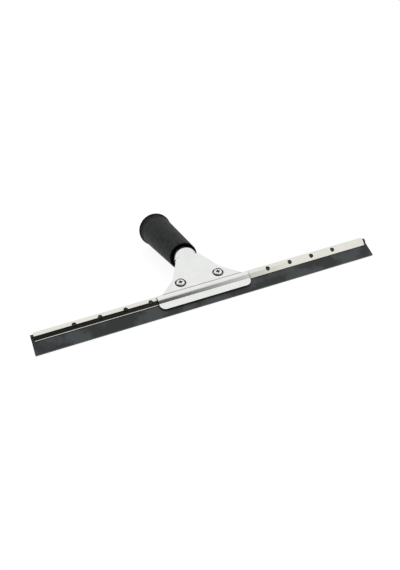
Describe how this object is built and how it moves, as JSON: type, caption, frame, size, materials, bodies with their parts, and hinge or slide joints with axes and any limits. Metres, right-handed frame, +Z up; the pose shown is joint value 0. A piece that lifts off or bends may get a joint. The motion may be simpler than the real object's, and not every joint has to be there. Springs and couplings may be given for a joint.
{
  "type": "window squeegee",
  "caption": "Window cleaning squeegee: a wide rubber blade in a perforated steel channel, clamped by two screws between jaws on a tube handle with a flared rubber grip.",
  "frame": {"origin": "centre of the bounding box on the table plane, with the squeegee lying face up on the rubber's edge and the rim of the grip", "axes": "+X along the blade (the object's right), +Y from the rubber's working edge towards the butt of the grip, +Z up"},
  "size_m": [0.356, 0.1806, 0.0402],
  "materials": {
    "satin_steel": "satin",
    "bright_steel": "polished",
    "fastener_steel": "polished",
    "blade_rubber": "matt",
    "grip_rubber": "textured"
  },
  "bodies": {
    "handle": {"top_jaw": "satin_steel", "neck_tube": "satin_steel", "grip": "grip_rubber"},
    "keeper": {"lower_jaw": "satin_steel", "nut_left": "fastener_steel", "nut_right": "fastener_steel"},
    "screw_left": {"screw_left": "fastener_steel"},
    "screw_right": {"screw_right": "fastener_steel"},
    "channel": {"channel": "bright_steel"},
    "blade": {"rubber_blade": "blade_rubber"}
  },
  "joints": [
    {"name": "screw_left_turn", "type": "hinge", "parent": "handle", "child": "screw_left", "pos_m": [-0.0275, -0.06661, 0.02002], "axis": [0, -0.35, 0.9367], "range_deg": [0, 720]},
    {"name": "screw_right_turn", "type": "hinge", "parent": "handle", "child": "screw_right", "pos_m": [0.0125, -0.06661, 0.02002], "axis": [0, -0.35, 0.9367], "range_deg": [0, 720]},
    {"name": "keeper_drop", "type": "slide", "parent": "handle", "child": "keeper", "axis": [0, 0.35, -0.9367], "range_m": [0, 0.0016]},
    {"name": "channel_slide", "type": "slide", "parent": "handle", "child": "channel", "axis": [1, 0, 0], "range_m": [-0.1345, 0.1195]},
    {"name": "rubber_slide", "type": "slide", "parent": "channel", "child": "blade", "axis": [1, 0, 0], "range_m": [-0.328, 0.328]}
  ],
  "couplings": [
    {"joint": "screw_left_turn", "follows": "keeper_drop", "rad_per_m": 7854},
    {"joint": "screw_right_turn", "follows": "keeper_drop", "rad_per_m": 7854}
  ]
}
